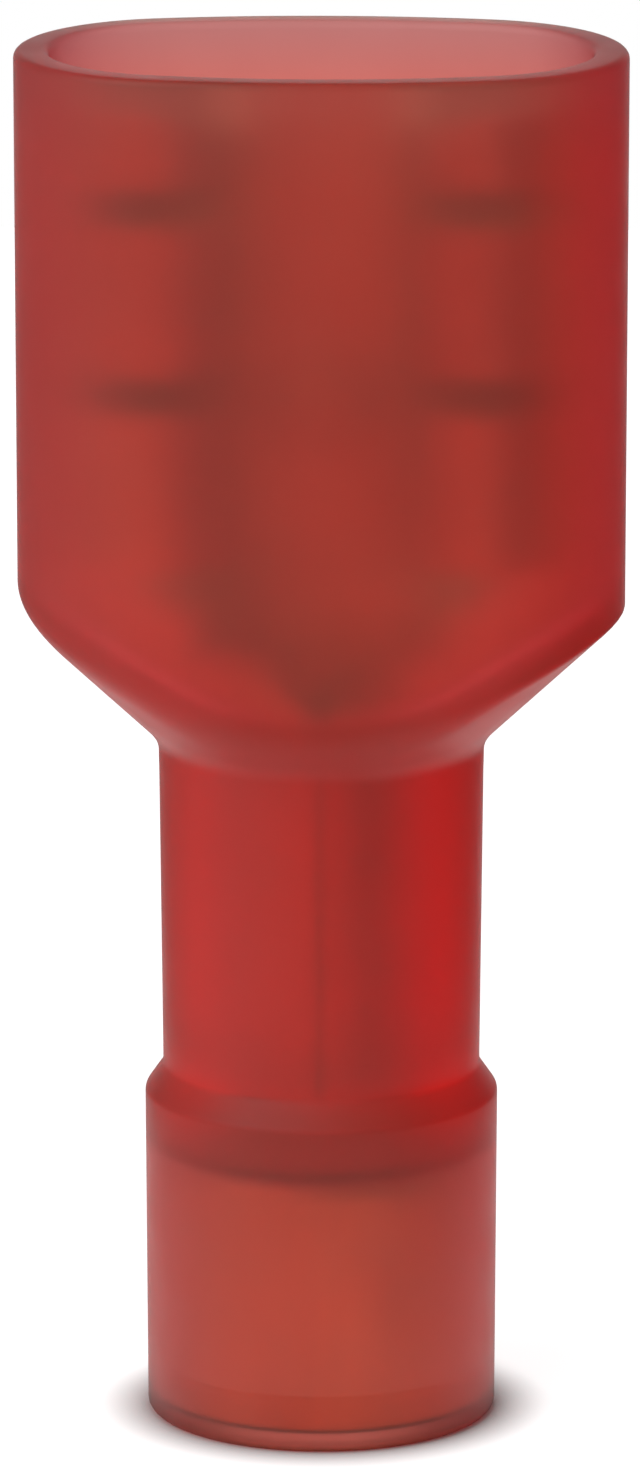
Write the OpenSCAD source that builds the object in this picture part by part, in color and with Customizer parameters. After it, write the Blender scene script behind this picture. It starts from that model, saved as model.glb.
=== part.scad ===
// Fully insulated female spade terminal for a flat tab. It stands on its wire
// entry, with +Z along the wire towards the mouth, X across the tab's width
// and the receptacle's rolled edges facing -Y. All sizes are in millimetres.

/* [Tab] */
// Width of the flat tab that the receptacle takes
tab_w = 6.35; // [6.2:0.05:6.5]
// Thickness of that tab
tab_t = 0.8; // [0.6:0.05:0.85]

/* [Receptacle] */
// Thickness of the sheet that the terminal is rolled from
stock_t = 0.4; // [0.35:0.05:0.45]
// Play between the tab's edge and the receptacle's side wall
tab_play = 0.175; // [0.1:0.025:0.2]
// Outer radius of the two rolled edges
roll_r = 1.3; // [1.2:0.05:1.35]
// Length of the receptacle
receptacle_l = 7.15; // [6.8:0.05:7.4]
// How much less than the tab's thickness the open grip measures
grip_preload = 0.1; // [0.05:0.05:0.2]
// Width of the slits that part each rolled edge into three fingers
slit_w = 0.54; // [0.4:0.02:0.6]

/* [Wire barrel] */
// Bore of the wire barrel
barrel_bore_d = 1.8; // [1.6:0.05:1.9]
// Length of the wire barrel
barrel_l = 5.6; // [5.2:0.1:5.8]
// Number of grooves that grip the strands
groove_count = 3; // [1:1:4]
// Length of the dished neck between the barrel and the receptacle
transition_l = 2.7; // [2.4:0.1:3]

/* [Insulator] */
// Depth of the mouth, front to back
mouth_d = 5.64; // [5.3:0.02:6]
// Wall thickness of the mouth
wall = 0.53; // [0.45:0.01:0.6]
// Gap between the receptacle's side and the mouth's wall
mouth_gap = 0.39; // [0.3:0.01:0.5]
// How far the receptacle lies back from the rim
recess = 0.75; // [0.5:0.05:1.5]
// Radius of the mouth's rounded ends, seen along the axis
mouth_end_r = 2.6; // [2.4:0.05:2.64]
// Height at which the neck ends and the funnel starts
funnel_z = 10.75; // [10.4:0.05:10.8]
// Height of the funnel, up to its shoulder
funnel_h = 2.04; // [1.8:0.02:2.3]
// Radius of the shoulder on the -X side
soft_shoulder_r = 1.4; // [0.8:0.1:1.6]
// Radius of the shoulder on the +X side
crisp_shoulder_r = 0.35; // [0.2:0.05:0.8]
// Diameter of the neck where it meets the funnel
neck_top_d = 5.02; // [4.9:0.02:5.1]
// Diameter of the neck where it meets the collar
neck_foot_d = 4.9; // [4.8:0.02:5]

/* [Collar and wire entry] */
// Diameter of the collar under its shoulder
collar_top_d = 5.46; // [5.3:0.02:5.6]
// Diameter of the collar at its foot
collar_foot_d = 5.4; // [5.3:0.02:5.5]
// Height of the collar, up to its sloped shoulder
collar_h = 5.02; // [4.9:0.02:5.2]
// Height of that shoulder, up to the neck
collar_shoulder_h = 0.4; // [0.3:0.02:0.5]
// Radius of the collar's bottom edge
foot_edge_r = 0.15; // [0.1:0.05:0.25]
// Bore of the support sleeve, which takes the wire's insulation
sleeve_bore_d = 4.3; // [4.1:0.05:4.4]
// Wall thickness of the support sleeve
sleeve_t = 0.2; // [0.15:0.05:0.25]

/* [Hidden] */
$fn = 96;
slack = 0.02;
past = 0.5;

// Heights along the axis
lip_h = 0.25;
sleeve_top_z = 4.3;
barrel_z = 5.3;
barrel_top_z = barrel_z + barrel_l;
receptacle_z = barrel_top_z + transition_l;
receptacle_top_z = receptacle_z + receptacle_l;
total_l = receptacle_top_z + recess;
shoulder_z = funnel_z + funnel_h;

// Receptacle, in plan
side_x = tab_w / 2 + tab_play + stock_t;
back_y = 1.4;
floor_y = back_y - stock_t;
grip_y = floor_y - tab_t + grip_preload;
roll_x = side_x - roll_r;
roll_y = 0.2;
bend_r = 0.5;
slit_heights = [2.46, 5.36];
slit_land = 0.3;
dimple_z = receptacle_z + 2.3;
dimple_r = 1;
dimple_rise = 0.3;
dimple_t = 0.35;
lead_in = 0.3;
lead_in_angle = 20;

// Barrel and the dished neck above it
barrel_r = barrel_bore_d / 2 + stock_t;
seam_w = 0.05;
groove_depth = 0.12;
groove_w = 0.3;
dish_half_w = 3;
dish_half_d = 0.8;
dish_foot_y = -0.6;
shelf_half_w = 2.5;
shelf_h = 0.75;
shelf_step = 0.25;
slice = 0.1;

// Insulator
mouth_half_w = side_x + mouth_gap + wall;
mouth_half_d = mouth_d / 2;
neck_top_r = neck_top_d / 2;
neck_foot_r = neck_foot_d / 2;
collar_top_r = collar_top_d / 2;
collar_foot_r = collar_foot_d / 2;
collar_edge_r = 0.2;
collar_angle = atan(collar_shoulder_h / (collar_top_r - neck_foot_r));
funnel_angle = atan((mouth_half_w - neck_top_r) / funnel_h);
sleeve_r = sleeve_bore_d / 2 + sleeve_t;
sleeve_mouth_r = 1.85;
sleeve_edge_r = 0.4;
lip_r = sleeve_bore_d / 2;
guide_r = barrel_bore_d / 2;
guide_h = 0.2;
seat_r = barrel_r + slack;
seat_lead_h = 0.2;
cavity_foot_r = barrel_r + 0.5;
cavity_foot_z = barrel_top_z + 0.1;
cavity_shoulder_z = shoulder_z + 0.26;

// Radius of the crowned front and back of an oval whose ends have radius end_r
function crown_r(half_w, half_d, end_r) =
    (half_w * half_w + half_d * half_d - 2 * half_w * end_r) / (2 * (half_d - end_r));

// Oval with round ends and crowned long sides, each arc tangent to the next
module oval(half_w, half_d, end_r) {
    big_r = crown_r(half_w, half_d, end_r);
    end_x = half_w - end_r;
    tangent_x = end_x * big_r / (big_r - end_r);
    intersection() {
        translate([0, big_r - half_d]) circle(big_r, $fn = 720);
        translate([0, half_d - big_r]) circle(big_r, $fn = 720);
        square([2 * tangent_x, 2 * half_d], center = true);
    }
    for (side = [-1, 1])
        translate([side * end_x, 0]) circle(end_r);
}

// Half section of the funnel and the mouth above it, with a rounded shoulder
module funnel_section(corner_r) {
    tangent = corner_r * tan(funnel_angle / 2);
    centre = [mouth_half_w - corner_r, shoulder_z + tangent];
    polygon([
        [0, funnel_z],
        [neck_top_r, funnel_z],
        [mouth_half_w - tangent * sin(funnel_angle), shoulder_z - tangent * cos(funnel_angle)],
        centre,
        [0, centre.y]
    ]);
    translate(centre) circle(corner_r);
    translate([0, centre.y]) square([mouth_half_w, total_l - centre.y]);
}

// Mouth of the insulator: an oval that a turned funnel brings down to the neck
module mouth_body() {
    intersection() {
        translate([0, 0, funnel_z])
            linear_extrude(total_l - funnel_z) oval(mouth_half_w, mouth_half_d, mouth_end_r);
        union() {
            rotate([0, 0, 90]) rotate_extrude(angle = 180) funnel_section(soft_shoulder_r);
            rotate([0, 0, -90]) rotate_extrude(angle = 180) funnel_section(crisp_shoulder_r);
        }
    }
}

// Half section of the neck and the collar, with a sloped shoulder between them
module stem_section() {
    tangent = collar_edge_r * tan((90 - collar_angle) / 2);
    centre = [collar_top_r - collar_edge_r, collar_h - tangent];
    polygon([
        [0, 0],
        [collar_foot_r - foot_edge_r, 0],
        [collar_foot_r, foot_edge_r],
        [collar_top_r, centre.y],
        centre,
        [collar_top_r - tangent * cos(collar_angle), collar_h + tangent * sin(collar_angle)],
        [neck_foot_r, collar_h + collar_shoulder_h],
        [neck_top_r, funnel_z],
        [0, funnel_z]
    ]);
    translate([collar_foot_r - foot_edge_r, foot_edge_r]) circle(foot_edge_r);
    translate(centre) circle(collar_edge_r);
}

// Half section of the way through the stem: lip, sleeve pocket, wire guide, barrel seat
// and the lead-in to that seat
module stem_bore_section() {
    polygon([
        [0, -past],
        [lip_r, -past],
        [lip_r, lip_h],
        [sleeve_r + slack, lip_h],
        [sleeve_r + slack, sleeve_top_z],
        [sleeve_mouth_r, sleeve_top_z],
        [guide_r, barrel_z - guide_h],
        [guide_r, barrel_z],
        [seat_r, barrel_z],
        [seat_r, barrel_top_z - seat_lead_h],
        [cavity_foot_r, cavity_foot_z],
        [seat_r, cavity_foot_z + past],
        [0, cavity_foot_z + past]
    ]);
}

// Room for the receptacle, which tapers down to the barrel
module mouth_cavity() {
    inner_half_w = mouth_half_w - wall;
    intersection() {
        translate([0, 0, cavity_foot_z])
            linear_extrude(total_l)
                oval(inner_half_w, mouth_half_d - wall, mouth_end_r - wall);
        rotate_extrude()
            polygon([
                [0, cavity_foot_z],
                [cavity_foot_r, cavity_foot_z],
                [inner_half_w, cavity_shoulder_z],
                [mouth_half_w, cavity_shoulder_z + past],
                [mouth_half_w, total_l + past],
                [0, total_l + past]
            ]);
    }
}

// Moulded insulator: mouth, funnel, neck and collar in one piece
module housing() {
    color([0.78, 0.14, 0.16, 0.7])
        difference() {
            union() {
                mouth_body();
                rotate_extrude() stem_section();
            }
            rotate_extrude() stem_bore_section();
            mouth_cavity();
        }
}

// Floor and side wall of the receptacle, and the edge rolled over the tab, on the +X side
module receptacle_half_plan() {
    translate([0, floor_y]) square([side_x - bend_r, stock_t]);
    translate([side_x - bend_r, back_y - bend_r])
        intersection() {
            ring(bend_r);
            square(bend_r);
        }
    translate([side_x - stock_t, roll_y]) square([stock_t, back_y - bend_r - roll_y]);
    translate([roll_x, roll_y])
        intersection() {
            ring(roll_r);
            translate([-roll_r, -roll_r]) square([2 * roll_r, roll_r]);
        }
    translate([roll_x - roll_r, roll_y]) square([stock_t, grip_y - roll_y]);
}

// Section of sheet bent to an outer radius
module ring(outer_r) {
    difference() {
        circle(outer_r);
        circle(outer_r - stock_t);
    }
}

// Slits across one rolled edge, and the bevel that leads the tab in
module finger_cuts() {
    cut_d = roll_r + past + grip_y + slack;
    for (height = slit_heights)
        translate([0, -roll_r - past, receptacle_z + height])
            cube([side_x - slit_land, cut_d, slit_w]);
    translate([roll_x - roll_r, -roll_r - past, receptacle_top_z - lead_in])
        rotate([0, -lead_in_angle, 0])
            translate([-past, 0, 0])
                cube([roll_r + past, cut_d, past + lead_in]);
}

// Receptacle: floor, rolled fingers and the dimple that catches the tab's hole
module receptacle() {
    dimple_y = floor_y + dimple_r - dimple_rise;
    difference() {
        union() {
            for (side = [0, 1])
                mirror([side, 0, 0])
                    difference() {
                        translate([0, 0, receptacle_z])
                            linear_extrude(receptacle_l) receptacle_half_plan();
                        finger_cuts();
                    }
            intersection() {
                translate([0, dimple_y, dimple_z]) sphere(dimple_r);
                translate([-dimple_r, floor_y - dimple_rise, dimple_z - dimple_r])
                    cube([2 * dimple_r, dimple_rise + stock_t, 2 * dimple_r]);
            }
        }
        translate([0, dimple_y, dimple_z]) sphere(dimple_r - dimple_t);
    }
}

// Thin slice of the dish: an oval that lies a step in front of the receptacle's floor
module dish_slice(half_w, step, inset) {
    for (side = [-1, 1])
        translate([side * (half_w - dish_half_d), back_y - dish_half_d - step, 0])
            cylinder(r = dish_half_d - inset, h = slice, $fn = 32);
}

// Shape that the neck of the terminal is dished to, less inset all round. It widens
// from the barrel to the shelf that the tab stops on, which leans back to the floor
module dish_form(inset) {
    hull() {
        translate([0, 0, barrel_top_z - slice]) cylinder(r = barrel_r - inset, h = slice, $fn = 32);
        translate([0, 0, receptacle_z - shelf_h]) dish_slice(shelf_half_w, shelf_step, inset);
    }
    hull() {
        translate([0, 0, receptacle_z - shelf_h]) dish_slice(shelf_half_w, shelf_step, inset);
        translate([0, 0, receptacle_z]) dish_slice(dish_half_w, 0, inset);
    }
}

// Dished neck between the round barrel and the flat floor, open to the front
module transition() {
    rim_y = back_y - dish_half_d;
    lean = atan((rim_y - dish_foot_y) / transition_l);
    difference() {
        dish_form(0);
        dish_form(stock_t);
        translate([0, dish_foot_y, barrel_top_z])
            rotate([-lean, 0, 0])
                translate([-dish_half_w, -2 * barrel_r, -barrel_r])
                    cube([2 * dish_half_w, 2 * barrel_r, 2 * transition_l]);
    }
}

// Wire barrel: rolled sheet with a butted seam in front and grooves inside
module wire_barrel() {
    groove_pitch = barrel_l / (groove_count + 1);
    difference() {
        translate([0, 0, barrel_z]) cylinder(r = barrel_r, h = barrel_l);
        translate([0, 0, barrel_z - past])
            cylinder(d = barrel_bore_d, h = barrel_l + 2 * past);
        for (i = [1 : groove_count])
            translate([0, 0, barrel_z + i * groove_pitch - groove_w / 2])
                cylinder(r = barrel_bore_d / 2 + groove_depth, h = groove_w);
        translate([-seam_w / 2, -barrel_r - past, barrel_z - past])
            cube([seam_w, barrel_r + past, barrel_l + 2 * past]);
    }
}

// Terminal: receptacle, dished neck and wire barrel from one strip of plated brass
module terminal() {
    color([0.76, 0.73, 0.68]) {
        receptacle();
        transition();
        wire_barrel();
    }
}

// Half section of a cup standing on its open end, with a rounded upper edge
module cup_section(outer_r, foot_z, top_z, edge_r) {
    polygon([
        [0, foot_z],
        [outer_r, foot_z],
        [outer_r, top_z - edge_r],
        [outer_r - edge_r, top_z],
        [0, top_z]
    ]);
    translate([outer_r - edge_r, top_z - edge_r]) circle(edge_r);
}

// Sleeve that backs the collar where it is crimped on the wire's insulation
module support_sleeve() {
    color([0.8, 0.62, 0.45])
        rotate_extrude()
            difference() {
                cup_section(sleeve_r, lip_h, sleeve_top_z, sleeve_edge_r);
                cup_section(
                    sleeve_r - sleeve_t,
                    lip_h - past,
                    sleeve_top_z - sleeve_t,
                    sleeve_edge_r - sleeve_t
                );
                square([sleeve_mouth_r, sleeve_top_z + past]);
            }
}

housing();
terminal();
support_sleeve();
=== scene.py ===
"""Looks of a fully insulated female spade terminal: translucent red nylon over plated metal."""
import math

import bmesh
import bpy
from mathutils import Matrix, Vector


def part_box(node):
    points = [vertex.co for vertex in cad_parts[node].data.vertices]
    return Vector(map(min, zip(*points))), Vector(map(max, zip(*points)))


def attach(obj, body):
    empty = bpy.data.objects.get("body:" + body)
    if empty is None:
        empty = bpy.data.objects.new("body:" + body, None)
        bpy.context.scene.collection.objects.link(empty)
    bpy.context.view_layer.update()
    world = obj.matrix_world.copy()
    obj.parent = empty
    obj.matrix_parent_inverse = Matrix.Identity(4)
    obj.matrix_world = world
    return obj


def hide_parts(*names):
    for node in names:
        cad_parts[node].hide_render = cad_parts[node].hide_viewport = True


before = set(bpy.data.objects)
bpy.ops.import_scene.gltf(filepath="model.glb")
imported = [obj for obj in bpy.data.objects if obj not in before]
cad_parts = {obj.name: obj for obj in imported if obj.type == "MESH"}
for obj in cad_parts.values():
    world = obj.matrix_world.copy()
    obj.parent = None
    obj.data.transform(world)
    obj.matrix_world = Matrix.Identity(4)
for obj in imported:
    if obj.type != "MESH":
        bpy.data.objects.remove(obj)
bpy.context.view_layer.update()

MM = 0.001

# Heights along the axis and sizes of the moulding, in millimetres
housing_low, housing_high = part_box("housing")
LENGTH = housing_high.z / MM
MOUTH_HALF_W = housing_high.x / MM
MOUTH_HALF_D = housing_high.y / MM
MOUTH_END_R = 2.6
WALL = 0.53
FUNNEL_Z = 10.75
SHOULDER_Z = 12.79
MOUTH_DRAFT = 0.022
NECK_TOP_R = 2.51
NECK_FOOT_R = 2.45
COLLAR_H = 5.15
COLLAR_TOP_R = 2.73
COLLAR_FOOT_R = 2.7
COLLAR_SHOULDER_H = 0.4
COLLAR_EDGE_R = 0.2
FOOT_EDGE_R = 0.15
LIP_H = 0.25
LIP_R = 2.15
POCKET_R = 2.37
POCKET_TOP_Z = 4.3
GUIDE_WIDE_R = 1.85
GUIDE_R = 0.9
GUIDE_Z = 5.1
BARREL_Z = 5.3
BARREL_SEAT_R = 1.32
BARREL_SEAT_Z = 10.7
CAVITY_FOOT_Z = 11.0
CAVITY_FOOT_R = 1.8
CAVITY_SHOULDER_Z = 13.05

# Sheet metal, in millimetres
STOCK = 0.4
BARREL_TOP_Z = 10.9
BARREL_MID_R = 1.1
RECEPTACLE_Z = 13.6
RECEPTACLE_TOP_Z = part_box("terminal")[1].z / MM
SIDE_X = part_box("terminal")[1].x / MM
FLOOR_MID_Y = 1.2
SHELF_FOOT_Z = 12.95
SHELF_STEP = 0.25
WIRE_STOP_Z = 11.75
NECK_SHARE = 0.93
BARREL_HALF_TURN = 179.6
BEND_MID_R = 0.3
ROLL_MID_R = 1.1
ROLL_Y = 0.2
GRIP_Y = 0.3
SLIT_W = 0.55
SLIT_HEIGHTS = (2.46, 5.36)

# Nylon: how clear, glossy and rough it is, and how its depth absorbs light per millimetre
CLEARNESS = 0.941
SPECULAR = 0.384
ROUGH = 0.49
IOR = 1.462
NYLON_DARK = (0.827, 0.406, 0.238)
NYLON_LIGHT = (0.878, 0.496, 0.291)
DENSITY = 1.704
DEPTH_COLOUR = (0.983, 0.02, 0.358)

# Painted haze: nylon coloured paler towards the rim in place of light reflected off the wall and shining
# through it, full at the back and partly there in front
PAINTED_HAZE = (0.6, 0.52, 0.38)
PAINTED_HAZE_Z = 19.9
PAINTED_HAZE_FRONT = 0.35

# Plating of the sheet metal, clean and dull
PLATED = (0.921, 0.86, 0.612, 1)
PLATED_DULL = (0.792, 0.74, 0.527, 1)

# World: strengths by direction, fading across from one X to another
SIDE_FROM = 0.153
SIDE_TO = 0.999
WORLD_LEFT = 0.484
WORLD_RIGHT = 0.123
WORLD_TOP = 0.685
WORLD_LOW = 1.185
WORLD_BACK = 0.344

# White backdrop: how far round it reaches for reflections and for light that comes through
GLOSSY_EDGE = 0.9
GLOSSY_GAIN = 1.548
THROUGH_EDGE = -0.2
THROUGH_LEFT = 0.418
THROUGH_RIGHT = 0.718

# Key light, floor in millimetres, and the floor's painted contact shadow, its glow dimmed by how much it is
# enclosed
KEY = 0.682
KEY_DIRECTION = (-0.62, -0.5, 0.7)
KEY_ANGLE = 55
FLOOR_HALF_L = 90
FLOOR_HALF_W = 14
FLOOR_FILL = 0.85
CONTACT_REACH = 1.2
CONTACT_LEAN = 0.6
CONTACT_DARK = 0.52
CONTACT_LIGHT = 0.93

# Camera, in millimetres and degrees
CAMERA_LENS = 308.6
CAMERA_DISTANCE = 190
CAMERA_Z = 58.2
CAMERA_YAW = 1.0
CAMERA_SIDE = -0.021
AIM_Z = 10.65


# ---------------------------------------------------------------- small helpers

def smooth_min(a, b, width):
    """The smaller of two values, rounded where they come within width of each other."""
    near = max(width - abs(a - b), 0.0) / width
    return min(a, b) - near * near * width / 4


def smooth_max(a, b, width):
    return -smooth_min(-a, -b, width)


def smoothstep(t):
    t = min(max(t, 0.0), 1.0)
    return t * t * (3 - 2 * t)


def steps(start, end, count):
    """Evenly spaced values from start to end, both included."""
    return [start + (end - start) * i / (count - 1) for i in range(count)]


def mesh_object(name, points, faces, sharp_angle=40):
    """An object from points in millimetres, smooth-shaded up to an angle."""
    mesh = bpy.data.meshes.new(name)
    mesh.from_pydata([Vector(p) * MM for p in points], [], faces)
    mesh.validate()
    made = bpy.data.objects.new(name, mesh)
    bpy.context.scene.collection.objects.link(made)
    face_out(mesh)
    mesh.shade_smooth()
    mesh.set_sharp_from_angle(angle=math.radians(sharp_angle))
    return made


def face_out(mesh):
    """Turns every face of a closed mesh outward."""
    work = bmesh.new()
    work.from_mesh(mesh)
    bmesh.ops.recalc_face_normals(work, faces=work.faces)
    work.to_mesh(mesh)
    work.free()


def ring_faces(ring_count, ring_size, closed):
    """Quads between neighbouring rings of points; closed joins the last ring to the first."""
    faces = []
    for i in range(ring_count if closed else ring_count - 1):
        here, there = i * ring_size, (i + 1) % ring_count * ring_size
        for j in range(ring_size):
            k = (j + 1) % ring_size
            faces.append((here + j, here + k, there + k, there + j))
    return faces


# ---------------------------------------------------------------- housing

def oval_radius(angle, half_w, half_d, end_r):
    """Distance from the axis to an oval of four tangent arcs, in this direction."""
    across, along = abs(math.cos(angle)), abs(math.sin(angle))
    end_x = half_w - end_r
    crown_r = (half_w**2 + half_d**2 - 2 * half_w * end_r) / (2 * (half_d - end_r))
    tangent_x = end_x * crown_r / (crown_r - end_r)
    reach = end_x * across + math.sqrt(max(end_r**2 - (end_x * along) ** 2, 0.0))
    if end_r**2 >= (end_x * along) ** 2 and reach * across >= tangent_x:
        return reach
    drop = crown_r - half_d
    return math.sqrt(crown_r**2 - (drop * across) ** 2) - drop * along


def even_angles(count):
    """Angles that space points evenly along the mouth's oval."""
    fine = 4096
    angles = [2 * math.pi * i / fine for i in range(fine + 1)]
    spots = []
    for a in angles:
        r = oval_radius(a, MOUTH_HALF_W, MOUTH_HALF_D, MOUTH_END_R)
        spots.append(Vector((r * math.cos(a), r * math.sin(a))))
    run = [0.0]
    for here, there in zip(spots, spots[1:]):
        run.append(run[-1] + (there - here).length)
    found, i = [], 0
    for n in range(count):
        target = run[-1] * n / count
        while run[i + 1] < target:
            i += 1
        found.append(angles[i] + (target - run[i]) / (run[i + 1] - run[i]) * 2 * math.pi / fine)
    return found


def edge_softness(angle):
    """Width of the rounding between mouth and funnel: wide on -X, tight on +X, soft in front and behind."""
    side = math.cos(angle)
    end = 0.06 if side > 0 else 0.45
    return 0.5 + (end - 0.5) * smoothstep(abs(side) * 1.6 - 0.5)


def outer_radius(angle, z):
    """Outside of the funnel and mouth."""
    slope = (MOUTH_HALF_W - NECK_TOP_R) / (SHOULDER_Z - FUNNEL_Z)
    neck = NECK_TOP_R + (z - FUNNEL_Z) * 0.011
    cone = NECK_TOP_R + (z - FUNNEL_Z) * slope
    turned = smooth_max(neck, cone, 0.22)
    half_w = MOUTH_HALF_W + MOUTH_DRAFT * max(z - SHOULDER_Z, 0) / (LENGTH - SHOULDER_Z)
    oval = oval_radius(angle, half_w, MOUTH_HALF_D, MOUTH_END_R)
    return smooth_min(oval, turned, edge_softness(angle))


def inner_radius(angle, z):
    """Inside of the funnel and mouth."""
    half_w = MOUTH_HALF_W - WALL
    slope = (half_w - CAVITY_FOOT_R) / (CAVITY_SHOULDER_Z - CAVITY_FOOT_Z)
    cone = CAVITY_FOOT_R + (z - CAVITY_FOOT_Z) * slope
    oval = oval_radius(angle, half_w, MOUTH_HALF_D - WALL, MOUTH_END_R - WALL)
    return smooth_min(oval, cone, 0.4)


def arc(centre_r, centre_z, radius, start, end, count):
    """Radius and height of points on an arc of the section; angles in degrees from +r towards +z."""
    turns = [math.radians(a) for a in steps(start, end, count)]
    return [(centre_r + radius * math.cos(a), centre_z + radius * math.sin(a)) for a in turns]


def round_section(points):
    """Turns (radius, height) pairs into rings that don't depend on the angle."""
    return [(lambda angle, r=r: r, z) for r, z in points]


def housing_rings():
    """Every ring of the closed section: up the outside, over the rim, down the inside."""
    neck_foot = COLLAR_H + COLLAR_SHOULDER_H
    slope = math.degrees(math.atan2(COLLAR_SHOULDER_H, COLLAR_TOP_R - NECK_FOOT_R))
    edge_drop = COLLAR_EDGE_R * math.tan(math.radians(90 - slope) / 2)
    rings = round_section(
        [(LIP_R + 0.06, 0), (LIP_R + 0.18, 0)]
        + arc(COLLAR_FOOT_R - FOOT_EDGE_R, FOOT_EDGE_R, FOOT_EDGE_R, -90, 0, 6)
        + [(COLLAR_FOOT_R + (COLLAR_TOP_R - COLLAR_FOOT_R) * t, FOOT_EDGE_R + (COLLAR_H - FOOT_EDGE_R) * t)
           for t in (0.04, 0.25, 0.5, 0.75, 0.94)]
        + arc(COLLAR_TOP_R - COLLAR_EDGE_R, COLLAR_H - edge_drop, COLLAR_EDGE_R, 0, 90 - slope, 5)
        + [(NECK_FOOT_R + (COLLAR_TOP_R - NECK_FOOT_R) * t, neck_foot - COLLAR_SHOULDER_H * t)
           for t in (0.5, 0.14)]
        + [(NECK_FOOT_R + 0.012, neck_foot - 0.005), (NECK_FOOT_R + 0.002, neck_foot + 0.05)]
    )
    for z in steps(neck_foot + 0.2, FUNNEL_Z - 0.5, 8):
        rings.append((lambda a, r=NECK_FOOT_R + (z - neck_foot) * 0.011: r, z))
    for z in steps(FUNNEL_Z - 0.35, SHOULDER_Z + 1.0, 62) + steps(SHOULDER_Z + 1.5, LENGTH - 0.4, 8):
        rings.append((lambda a, z=z: outer_radius(a, z), z))
    rim_r = 0.13
    top = LENGTH - rim_r
    for turn in steps(0, 90, 6):
        inset = rim_r * (1 - math.cos(math.radians(turn)))
        z = top + rim_r * math.sin(math.radians(turn))
        rings.append((lambda a, inset=inset: outer_radius(a, LENGTH) - inset, z))
    for turn in steps(90, 0, 6):
        inset = rim_r * (1 - math.cos(math.radians(turn)))
        z = top + rim_r * math.sin(math.radians(turn))
        rings.append((lambda a, inset=inset: inner_radius(a, LENGTH) + inset, z))
    straight = steps(LENGTH - 0.4, CAVITY_SHOULDER_Z + 1.0, 8)
    tapered = steps(CAVITY_SHOULDER_Z + 0.7, CAVITY_FOOT_Z + 0.05, 50)
    for z in straight + tapered:
        rings.append((lambda a, z=z: inner_radius(a, z), z))
    rings += round_section(
        [(CAVITY_FOOT_R - 0.03, CAVITY_FOOT_Z - 0.02), (BARREL_SEAT_R + 0.03, BARREL_SEAT_Z + 0.02)]
        + [(BARREL_SEAT_R, BARREL_SEAT_Z - 0.03)]
        + [(BARREL_SEAT_R, z) for z in steps(BARREL_SEAT_Z - 0.4, BARREL_Z + 0.1, 10)]
        + [(BARREL_SEAT_R, BARREL_Z), (GUIDE_R + 0.05, BARREL_Z), (GUIDE_R, BARREL_Z - 0.05)]
        + [(GUIDE_R, GUIDE_Z + 0.03), (GUIDE_R + 0.03, GUIDE_Z - 0.02)]
        + [(GUIDE_WIDE_R - 0.03, POCKET_TOP_Z + 0.02), (GUIDE_WIDE_R + 0.02, POCKET_TOP_Z)]
        + [(POCKET_R - 0.05, POCKET_TOP_Z), (POCKET_R, POCKET_TOP_Z - 0.05)]
        + [(POCKET_R, z) for z in steps(POCKET_TOP_Z - 0.5, LIP_H + 0.4, 7)]
        + [(POCKET_R, LIP_H + 0.03), (POCKET_R - 0.03, LIP_H), (LIP_R + 0.03, LIP_H), (LIP_R, LIP_H - 0.03)]
        + [(LIP_R, 0.06), (LIP_R + 0.018, 0.018)]
    )
    return rings


def make_housing():
    angles = even_angles(208)
    rings = housing_rings()
    points = []
    for radius, z in rings:
        for a in angles:
            r = radius(a)
            points.append((r * math.cos(a), r * math.sin(a), z))
    made = mesh_object("insulator", points, ring_faces(len(rings), len(angles), closed=True))
    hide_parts("housing")
    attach(made, "root")
    return made


# ---------------------------------------------------------------- terminal

def half_profile(count_floor, spacing):
    """Middle line of the receptacle's +X half: floor, bend, wall, rolled edge and leg, as (x, y) points."""
    wall_x = SIDE_X - STOCK / 2
    bend_x = wall_x - BEND_MID_R
    bend_y = FLOOR_MID_Y - BEND_MID_R
    roll_x = wall_x - ROLL_MID_R
    line = [(x, FLOOR_MID_Y) for x in steps(0, bend_x, count_floor)]
    for turn in steps(90, 0, 6)[1:]:
        a = math.radians(turn)
        line.append((bend_x + BEND_MID_R * math.cos(a), bend_y + BEND_MID_R * math.sin(a)))
    line += [(wall_x, y) for y in steps(bend_y, ROLL_Y, 6)[1:]]
    roll_steps = round(math.pi * ROLL_MID_R / spacing)
    for turn in steps(0, -180, roll_steps)[1:]:
        a = math.radians(turn)
        line.append((roll_x + ROLL_MID_R * math.cos(a), ROLL_Y + ROLL_MID_R * math.sin(a)))
    line.append((roll_x - ROLL_MID_R, GRIP_Y))
    return line


def on_finger(x, y):
    """True on the part of the rolled edge that the slits cut."""
    return y < ROLL_Y + 0.05 or (x < SIDE_X - 2 * ROLL_MID_R and y < GRIP_Y + 0.01)


def dished(share, z):
    """Middle line of barrel and dished neck: share runs from the back (0) to the seam or free edge (1)."""
    flat_end = SIDE_X - STOCK / 2 - BEND_MID_R
    open_share = smoothstep((z - BARREL_TOP_Z) / (RECEPTACLE_Z - BARREL_TOP_Z))
    turn = math.radians(90 - share * BARREL_HALF_TURN)
    barrel_spot = (BARREL_MID_R * math.cos(turn), BARREL_MID_R * math.sin(turn))
    floor_spot = (flat_end * NECK_SHARE * share, FLOOR_MID_Y)
    x, y = (b + (f - b) * open_share for b, f in zip(barrel_spot, floor_spot))
    return x, y - shelf_rise(z)


def shelf_rise(z):
    """How far the dished neck stands in front of the floor, in a shelf that stops the tab."""
    climb = smoothstep((z - BARREL_TOP_Z - 0.6) / (SHELF_FOOT_Z - BARREL_TOP_Z - 0.6))
    fall = smoothstep((z - SHELF_FOOT_Z) / (RECEPTACLE_Z - 0.05 - SHELF_FOOT_Z))
    return SHELF_STEP * climb * (1 - fall)


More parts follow.
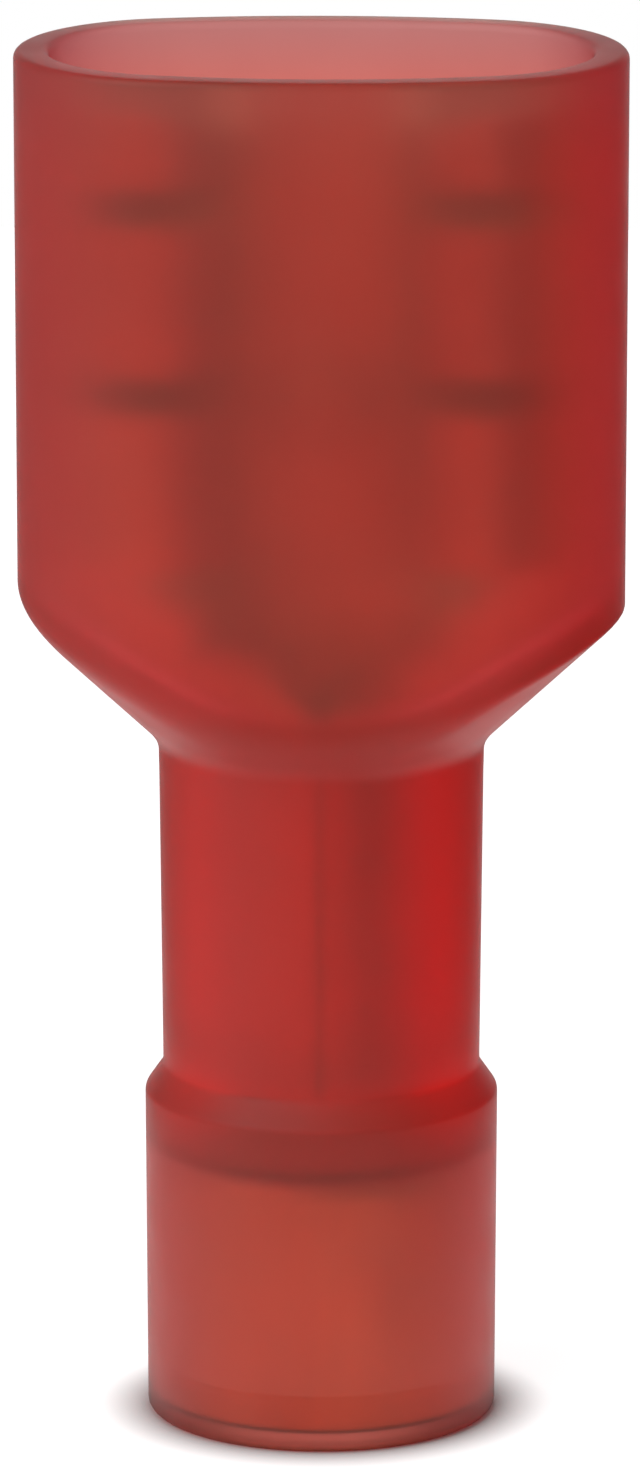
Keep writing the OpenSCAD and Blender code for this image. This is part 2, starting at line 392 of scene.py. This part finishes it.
def terminal_sheet():
    """Points and faces of the middle surface of the sheet that the terminal is rolled from."""
    floor_count = 27
    profile = half_profile(floor_count, 0.11)
    floor_keep = round((floor_count - 1) * NECK_SHARE)
    slit_rows = [RECEPTACLE_Z + h + d for h in SLIT_HEIGHTS for d in (0, SLIT_W)]
    rows = steps(BARREL_Z, BARREL_TOP_Z, 41)[:-1] + steps(BARREL_TOP_Z, RECEPTACLE_Z, 34)[:-1]
    first_receptacle_row = len(rows)
    marks = [RECEPTACLE_Z, *slit_rows, RECEPTACLE_TOP_Z]
    for low, high in zip(marks, marks[1:]):
        rows += steps(low, high, max(2, round((high - low) / 0.15) + 1))[:-1]
    rows.append(RECEPTACLE_TOP_Z)
    points, index, faces = [], {}, []
    for i, z in enumerate(rows):
        narrow = i < first_receptacle_row
        last = floor_keep if narrow else len(profile) - 1
        for j in range(-last, last + 1):
            side = -1 if j < 0 else 1
            if narrow:
                x, y = dished(abs(j) / floor_keep, z)
            else:
                x, y = profile[abs(j)]
                z_here = z - lead_in(x, y, z)
            index[i, j] = len(points)
            points.append((side * x, y, z if narrow else z_here))
    for i in range(len(rows) - 1):
        middle = (rows[i] + rows[i + 1]) / 2 - RECEPTACLE_Z
        in_slit = any(h < middle < h + SLIT_W for h in SLIT_HEIGHTS)
        for j in range(-len(profile) + 1, len(profile) - 1):
            corners = [(i, j), (i, j + 1), (i + 1, j + 1), (i + 1, j)]
            if any(c not in index for c in corners):
                continue
            x, y = profile[max(abs(j), abs(j + 1))] if i >= first_receptacle_row else (0, 1)
            if in_slit and on_finger(x, y):
                continue
            faces.append(tuple(index[c] for c in corners))
    return points, faces


def lead_in(x, y, z):
    """How far the receptacle's front edge is set back on the rolled fingers."""
    if z < RECEPTACLE_TOP_Z - 0.6 or y > ROLL_Y:
        return 0.0
    share = smoothstep((SIDE_X - ROLL_MID_R - x) / ROLL_MID_R)
    return 0.3 * share * (z - RECEPTACLE_TOP_Z + 0.6) / 0.6


def emboss(mesh, height, reach, rise, behind):
    """Presses a dimple of this reach and rise forward, in the sheet that lies behind a plane."""
    for v in mesh.vertices:
        away = math.hypot(v.co.x / MM, v.co.z / MM - height)
        if away < reach and v.co.y / MM > behind:
            v.co.y -= rise * MM * smoothstep((reach - away) / (0.63 * reach))


def cut_grooves(mesh):
    """Sinks the grip grooves into the barrel's inner wall."""
    pitch = (BARREL_TOP_Z - BARREL_Z) / 4
    for v in mesh.vertices:
        x, y, z = v.co / MM
        inside = math.hypot(x, y) < BARREL_MID_R - STOCK / 4
        if inside and z < BARREL_TOP_Z and any(abs(z - BARREL_Z - pitch * n) < 0.16 for n in (1, 2, 3)):
            v.co.x *= 1.09
            v.co.y *= 1.09


def apply_modifiers(made):
    """Replaces the object's mesh with what its modifiers make."""
    graph = bpy.context.evaluated_depsgraph_get()
    mesh = bpy.data.meshes.new_from_object(made.evaluated_get(graph))
    made.modifiers.clear()
    made.data = mesh


def make_terminal():
    points, faces = terminal_sheet()
    made = mesh_object("terminal_metal", points, faces)
    sheet = made.modifiers.new("thickness", "SOLIDIFY")
    sheet.thickness = STOCK * MM
    sheet.offset = 0
    sheet.use_even_offset = True
    apply_modifiers(made)
    emboss(made.data, RECEPTACLE_Z + 2.3, 0.95, 0.3, behind=0.8)
    emboss(made.data, WIRE_STOP_Z, 0.8, 1.2, behind=0.3)
    cut_grooves(made.data)
    edge = made.modifiers.new("sheared_edge", "BEVEL")
    edge.width = 0.05 * MM
    edge.segments = 2
    edge.limit_method = "ANGLE"
    edge.angle_limit = math.radians(50)
    apply_modifiers(made)
    face_out(made.data)
    made.data.shade_smooth()
    made.data.set_sharp_from_angle(angle=math.radians(45))
    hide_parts("terminal")
    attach(made, "root")
    return made


# ---------------------------------------------------------------- support sleeve

def make_sleeve():
    """Thin drawn sleeve with a turned-in upper edge."""
    outer_r, thick, edge_r = 2.35, 0.2, 0.4
    low, high, mouth_r = LIP_H, POCKET_TOP_Z, GUIDE_WIDE_R
    inner_r = outer_r - thick
    section = (
        [(inner_r + 0.05, low), (outer_r - 0.05, low), (outer_r, low + 0.05)]
        + [(outer_r, z) for z in steps(low + 0.4, high - edge_r - 0.3, 7)]
        + arc(outer_r - edge_r, high - edge_r, edge_r, 0, 88, 8)
        + [(mouth_r + 0.05, high), (mouth_r, high - 0.05), (mouth_r, high - thick + 0.04)]
        + [(mouth_r + 0.03, high - thick)]
        + arc(outer_r - edge_r, high - edge_r, edge_r - thick, 88, 0, 6)
        + [(inner_r, z) for z in steps(high - edge_r - 0.3, low + 0.4, 7)]
        + [(inner_r, low + 0.05)]
    )
    count = 128
    turns = [2 * math.pi * i / count for i in range(count)]
    points = [(r * math.cos(a), r * math.sin(a), z) for r, z in section for a in turns]
    made = mesh_object("sleeve_metal", points, ring_faces(len(section), count, closed=True))
    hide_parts("support_sleeve")
    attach(made, "root")
    return made


# ---------------------------------------------------------------- materials

class Nodes:
    """The node tree of a material or world, with short calls to add and link nodes."""

    def __init__(self, owner, output_kind="OutputMaterial"):
        owner.use_nodes = True
        self.tree = owner.node_tree
        self.tree.nodes.clear()
        self.output = self.add(output_kind)

    def add(self, kind, **settings):
        node = self.tree.nodes.new("ShaderNode" + kind)
        for name, value in settings.items():
            if hasattr(node, name):
                setattr(node, name, value)
            else:
                node.inputs[name.replace("_", " ")].default_value = value
        return node

    def link(self, source, target):
        self.tree.links.new(source, target)


def scaled_noise(n, scale, stretch=(1, 1, 1), detail=4, roughness=0.5):
    """Noise on the piece's own coordinates, in features per millimetre."""
    place = n.add("TexCoord")
    mapping = n.add("Mapping")
    mapping.inputs["Scale"].default_value = [scale / MM * s for s in stretch]
    noise = n.add("TexNoise", Scale=1.0, Detail=detail, Roughness=roughness)
    n.link(place.outputs["Object"], mapping.inputs["Vector"])
    n.link(mapping.outputs["Vector"], noise.inputs["Vector"])
    return noise


def ramp(n, source, stops):
    """A colour ramp from (position, colour) pairs."""
    made = n.add("ValToRGB")
    elements = made.color_ramp.elements
    while len(elements) < len(stops):
        elements.new(0.5)
    for element, (position, colour) in zip(elements, stops):
        element.position = position
        element.color = colour
    n.link(source, made.inputs["Fac"])
    return made


def grey(value):
    return (value, value, value, 1)


def nylon_material():
    """Red nylon: part milky, part clear, softened by its surface and reddened by its depth, with a painted
    pale haze near the rim.
    """
    material = bpy.data.materials.new("red_nylon")
    n = Nodes(material)
    shader = n.add("BsdfPrincipled")
    shader.inputs["Transmission Weight"].default_value = CLEARNESS
    shader.inputs["IOR"].default_value = IOR
    shader.inputs["Specular IOR Level"].default_value = SPECULAR
    tone = scaled_noise(n, 0.5, (1, 1, 0.5))
    tint = ramp(n, tone.outputs["Fac"], [(0.3, (*NYLON_DARK, 1)), (0.7, (*NYLON_LIGHT, 1))])
    place = n.add("TexCoord")
    spot = n.add("SeparateXYZ")
    n.link(place.outputs["Object"], spot.inputs["Vector"])
    # Painted haze: the colour turns paler near the rim, more at the back, standing in for light reflected
    # off the wall and shining through it
    painted_haze = n.add("Mix", data_type="RGBA")
    high = remap(n, spot.outputs["Z"], PAINTED_HAZE_Z * MM, LENGTH * MM, 0, 1)
    rear = remap(n, spot.outputs["Y"], -MM, MM, PAINTED_HAZE_FRONT, 1)
    n.link(times(n, high, rear), painted_haze.inputs["Factor"])
    n.link(tint.outputs["Color"], painted_haze.inputs["A"])
    painted_haze.inputs["B"].default_value = (*PAINTED_HAZE, 1)
    smears = scaled_noise(n, 1.3)
    gloss = ramp(n, smears.outputs["Fac"], [(0.3, grey(ROUGH - 0.03)), (0.7, grey(ROUGH + 0.03))])
    bump = n.add("Bump", Strength=0.15, Distance=0.02 * MM)
    n.link(scaled_noise(n, 2.2, (1, 1, 0.6)).outputs["Fac"], bump.inputs["Height"])
    n.link(painted_haze.outputs["Result"], shader.inputs["Base Color"])
    n.link(gloss.outputs["Color"], shader.inputs["Roughness"])
    n.link(bump.outputs["Normal"], shader.inputs["Normal"])
    n.link(shader.outputs["BSDF"], n.output.inputs["Surface"])
    depth = n.add("VolumeAbsorption", Density=DENSITY / MM)
    depth.inputs["Color"].default_value = (*DEPTH_COLOUR, 1)
    n.link(depth.outputs["Volume"], n.output.inputs["Volume"])
    return material


def metal_material(name, colour, dull, rough):
    """Plated sheet with a fine rolled grain and patches of duller plating."""
    material = bpy.data.materials.new(name)
    n = Nodes(material)
    shader = n.add("BsdfPrincipled", Metallic=1.0)
    patches = scaled_noise(n, 0.7, detail=5)
    tint = ramp(n, patches.outputs["Fac"], [(0.35, dull), (0.65, colour)])
    grain = scaled_noise(n, 6, (1, 1, 0.06), detail=3)
    gloss = ramp(n, grain.outputs["Fac"], [(0.3, grey(rough * 0.85)), (0.7, grey(rough * 1.2))])
    bump = n.add("Bump", Strength=0.2, Distance=0.01 * MM)
    n.link(grain.outputs["Fac"], bump.inputs["Height"])
    n.link(tint.outputs["Color"], shader.inputs["Base Color"])
    n.link(gloss.outputs["Color"], shader.inputs["Roughness"])
    n.link(bump.outputs["Normal"], shader.inputs["Normal"])
    n.link(shader.outputs["BSDF"], n.output.inputs["Surface"])
    return material


# ---------------------------------------------------------------- studio

def either(n, a, b):
    """The larger of two values."""
    made = n.add("Math", operation="MAXIMUM")
    n.link(a, made.inputs[0])
    n.link(b, made.inputs[1])
    return made.outputs["Value"]


def remap(n, value, from_low, from_high, to_low, to_high):
    """A value moved from one range to another, held at the ends."""
    made = n.add("MapRange")
    sockets = ("From Min", "From Max", "To Min", "To Max")
    for socket, number in zip(sockets, (from_low, from_high, to_low, to_high)):
        made.inputs[socket].default_value = number
    n.link(value, made.inputs["Value"])
    return made.outputs["Result"]


def times(n, a, b):
    made = n.add("Math", operation="MULTIPLY")
    n.link(a, made.inputs[0])
    if isinstance(b, float):
        made.inputs[1].default_value = b
    else:
        n.link(b, made.inputs[1])
    return made.outputs["Value"]


def make_world():
    """Softbox light, brighter from the left, with a white backdrop behind the object."""
    world = bpy.data.worlds.new("studio")
    bpy.context.scene.world = world
    n = Nodes(world, "OutputWorld")
    place = n.add("TexCoord")
    parts = n.add("SeparateXYZ")
    n.link(place.outputs["Generated"], parts.inputs["Vector"])
    path = n.add("LightPath")
    mirrored = times(n, path.outputs["Is Glossy Ray"],
                     remap(n, parts.outputs["Y"], GLOSSY_EDGE - 0.03, GLOSSY_EDGE + 0.03, 0, 1))
    behind = times(n, remap(n, parts.outputs["Y"], THROUGH_EDGE - 0.1, THROUGH_EDGE + 0.1, 0, 1),
                   remap(n, parts.outputs["X"], -0.5, 0.5, THROUGH_LEFT, THROUGH_RIGHT))
    through = times(n, path.outputs["Is Transmission Ray"], behind)
    seen = either(n, path.outputs["Is Camera Ray"], either(n, mirrored, through))
    side = remap(n, parts.outputs["X"], SIDE_FROM, SIDE_TO, WORLD_LEFT, WORLD_RIGHT)
    high = remap(n, parts.outputs["Z"], -0.2, 1.0, WORLD_LOW, WORLD_TOP)
    front = remap(n, parts.outputs["Y"], -0.3, 0.6, 1.0, WORLD_BACK)
    mix = n.add("MixShader")
    dim = n.add("Background")
    dim.inputs["Color"].default_value = (1, 1, 1, 1)
    gloss = remap(n, path.outputs["Is Glossy Ray"], 0, 1, 1, GLOSSY_GAIN)
    n.link(times(n, times(n, times(n, side, high), front), gloss), dim.inputs["Strength"])
    white = n.add("Background", Strength=1.0)
    white.inputs["Color"].default_value = (1, 1, 1, 1)
    n.link(seen, mix.inputs["Fac"])
    n.link(dim.outputs["Background"], mix.inputs[1])
    n.link(white.outputs["Background"], mix.inputs[2])
    n.link(mix.outputs["Shader"], n.output.inputs["Surface"])


def make_floor():
    """White floor that stays white where it is lit, keeps the object's real shadow in its diffuse part, and
    has a painted contact shadow where its glow is dimmed by ambient occlusion.
    """
    half_w, half_l = FLOOR_HALF_W, FLOOR_HALF_L
    corners = [(-half_w, -half_l, 0), (half_w, -half_l, 0), (half_w, half_l, 0), (-half_w, half_l, 0)]
    made = mesh_object("studio_floor", corners, [(0, 1, 2, 3)])
    material = bpy.data.materials.new("floor_white")
    n = Nodes(material)
    diffuse = n.add("BsdfDiffuse")
    diffuse.inputs["Color"].default_value = (0.8, 0.8, 0.8, 1)
    path = n.add("LightPath")
    seen = either(n, path.outputs["Is Camera Ray"],
                  either(n, path.outputs["Is Glossy Ray"], path.outputs["Is Transmission Ray"]))
    # Painted contact shadow: the floor's glow is dimmed where ambient occlusion finds the object close by
    near = n.add("AmbientOcclusion", samples=16)
    near.inputs["Distance"].default_value = CONTACT_REACH * MM
    near.inputs["Normal"].default_value = (0, math.sin(CONTACT_LEAN), math.cos(CONTACT_LEAN))
    painted_contact_shadow = remap(n, near.outputs["AO"], CONTACT_DARK, CONTACT_LIGHT, 0, FLOOR_FILL)
    fill = n.add("Emission")
    fill.inputs["Color"].default_value = (1, 1, 1, 1)
    n.link(times(n, seen, painted_contact_shadow), fill.inputs["Strength"])
    both = n.add("AddShader")
    n.link(diffuse.outputs["BSDF"], both.inputs[0])
    n.link(fill.outputs["Emission"], both.inputs[1])
    n.link(both.outputs["Shader"], n.output.inputs["Surface"])
    made.data.materials.append(material)


def sun(name, direction, strength, angle):
    """A wide soft light that comes from this direction."""
    lamp = bpy.data.lights.new(name, "SUN")
    lamp.energy = strength
    lamp.angle = math.radians(angle)
    made = bpy.data.objects.new(name, lamp)
    made.rotation_euler = Vector(direction).to_track_quat("Z", "Y").to_euler()
    bpy.context.scene.collection.objects.link(made)


def make_camera():
    """A long lens, a little above the terminal, as the photograph was taken."""
    data = bpy.data.cameras.new("camera")
    data.sensor_width = 36
    data.lens = CAMERA_LENS
    data.clip_start = 0.001
    data.clip_end = 5
    made = bpy.data.objects.new("camera", data)
    bpy.context.scene.collection.objects.link(made)
    turn = math.radians(CAMERA_YAW)
    across, back = CAMERA_DISTANCE * math.sin(turn), CAMERA_DISTANCE * math.cos(turn)
    made.location = Vector((across + CAMERA_SIDE, -back, CAMERA_Z)) * MM
    aim = Vector((CAMERA_SIDE, 0, AIM_Z)) * MM
    made.rotation_euler = (made.location - aim).to_track_quat("Z", "Y").to_euler()
    bpy.context.scene.camera = made


# ---------------------------------------------------------------- the scene

nylon = nylon_material()
plated = metal_material("tin_plated_brass", PLATED, PLATED_DULL, 0.34)
drawn = metal_material("tin_plated_sleeve", PLATED, PLATED_DULL, 0.38)
make_housing().data.materials.append(nylon)
make_terminal().data.materials.append(plated)
make_sleeve().data.materials.append(drawn)
make_world()
make_floor()
sun("key", KEY_DIRECTION, KEY, KEY_ANGLE)
make_camera()

bpy.context.scene.view_settings.view_transform = "Standard"
